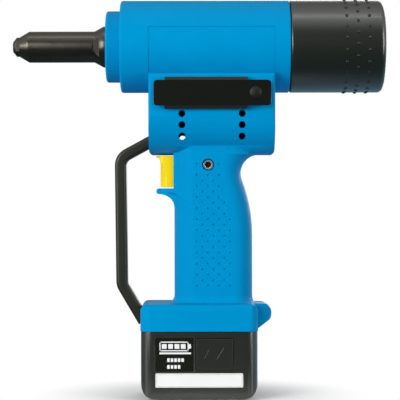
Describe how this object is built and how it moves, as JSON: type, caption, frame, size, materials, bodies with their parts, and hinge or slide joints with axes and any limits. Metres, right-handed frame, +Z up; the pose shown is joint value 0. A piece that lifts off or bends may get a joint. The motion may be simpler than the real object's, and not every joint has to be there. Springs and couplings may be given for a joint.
{
  "type": "battery rivet tool",
  "caption": "Cordless pistol-grip blind riveter with hand guard, belt clip, rear mandrel container, slide-off battery pack and a geared ball-screw pulling drive.",
  "frame": {"origin": "middle of the battery pack's flat underside, which the tool stands on", "axes": "-X towards the nose, +X towards the mandrel container, +Z up, -Y the side with the belt clip"},
  "size_m": [0.2645, 0.0718, 0.284],
  "materials": {
    "housing_plastic": "fine moulded texture",
    "guard_plastic": "satin",
    "trigger_plastic": "satin",
    "clip_steel": "black satin coat",
    "nose_steel": "black oxide",
    "screw_steel": "bright zinc",
    "container_plastic": "satin",
    "plug_plastic": "satin",
    "seal_rubber": "matt",
    "frame_aluminium": "machined",
    "bearing_steel": "ground",
    "drive_steel": "ground",
    "chuck_steel": "hardened",
    "spring_steel": "drawn wire",
    "motor_steel": "plated",
    "black_plastic": "satin",
    "plunger_plastic": "satin",
    "board_laminate": "solder mask",
    "battery_plastic": "satin",
    "holder_plastic": "satin",
    "cell_wrap": "shrink film",
    "contact_brass": "bright"
  },
  "bodies": {
    "housing": {"left_shell": "housing_plastic", "right_shell": "housing_plastic", "housing_screws": "screw_steel", "hand_guard": "guard_plastic", "belt_clip": "clip_steel", "clip_screw": "nose_steel", "head_sleeve": "nose_steel", "nosepiece": "nose_steel", "pull_frame": "frame_aluminium", "thrust_bearing": "bearing_steel", "bearing_plate": "frame_aluminium", "nut_bearing": "bearing_steel", "guide_sleeve": "chuck_steel", "rear_plug": "plug_plastic", "plug_seal": "seal_rubber", "mandrel_tube": "drive_steel", "gearbox_case": "motor_steel", "motor_case": "motor_steel", "motor_end_cap": "black_plastic", "motor_leads": "black_plastic", "trigger_switch": "black_plastic", "control_board": "board_laminate", "terminal_block": "black_plastic", "trigger_spring": "spring_steel"},
    "nut": {"ball_nut": "drive_steel", "nut_gear": "drive_steel"},
    "pinion": {"motor_pinion": "drive_steel"},
    "puller": {"spindle": "drive_steel", "guide_key": "chuck_steel", "chuck_housing": "chuck_steel", "jaws": "chuck_steel", "jaw_pusher": "chuck_steel", "jaw_spring": "spring_steel"},
    "trigger": {"trigger": "trigger_plastic", "switch_plunger": "plunger_plastic"},
    "container": {"mandrel_container": "container_plastic"},
    "battery": {"battery_tub": "battery_plastic", "battery_lid": "battery_plastic", "cell_holder": "holder_plastic", "battery_cells": "cell_wrap", "battery_board": "board_laminate", "battery_blades": "contact_brass", "release_spring_left": "spring_steel", "release_spring_right": "spring_steel"},
    "left_release": {"release_button_left": "battery_plastic"},
    "right_release": {"release_button_right": "battery_plastic"}
  },
  "joints": [
    {"name": "trigger_slide", "type": "slide", "parent": "housing", "child": "trigger", "axis": [1, 0, 0], "range_m": [0, 0.006], "stiffness_N_per_m": 900, "springref_m": -0.004, "deforming": ["trigger_spring"]},
    {"name": "nut_spin", "type": "hinge", "parent": "housing", "child": "nut", "pos_m": [-0.0231, 0, 0.251], "axis": [1, 0, 0], "range_deg": [0, 1440]},
    {"name": "spindle_slide", "type": "slide", "parent": "housing", "child": "puller", "axis": [1, 0, 0], "range_m": [0, 0.02]},
    {"name": "pinion_spin", "type": "hinge", "parent": "housing", "child": "pinion", "pos_m": [-0.0231, 0, 0.206], "axis": [1, 0, 0], "range_deg": [-2160, 0]},
    {"name": "container_pull", "type": "slide", "parent": "housing", "child": "container", "axis": [1, 0, 0], "range_m": [0, 0.075]},
    {"name": "battery_slide", "type": "slide", "parent": "housing", "child": "battery", "axis": [0, 0, -1], "range_m": [0, 0.03]},
    {"name": "left_release_press", "type": "slide", "parent": "battery", "child": "left_release", "axis": [0, 1, 0], "range_m": [0, 0.002], "stiffness_N_per_m": 1200, "springref_m": -0.002, "deforming": ["release_spring_left"]},
    {"name": "right_release_press", "type": "slide", "parent": "battery", "child": "right_release", "axis": [0, -1, 0], "range_m": [0, 0.002], "stiffness_N_per_m": 1200, "springref_m": -0.002, "deforming": ["release_spring_right"]}
  ],
  "couplings": [
    {"joint": "spindle_slide", "follows": "nut_spin", "m_per_rad": 0.00079577},
    {"joint": "pinion_spin", "follows": "nut_spin", "ratio": -1.5}
  ]
}
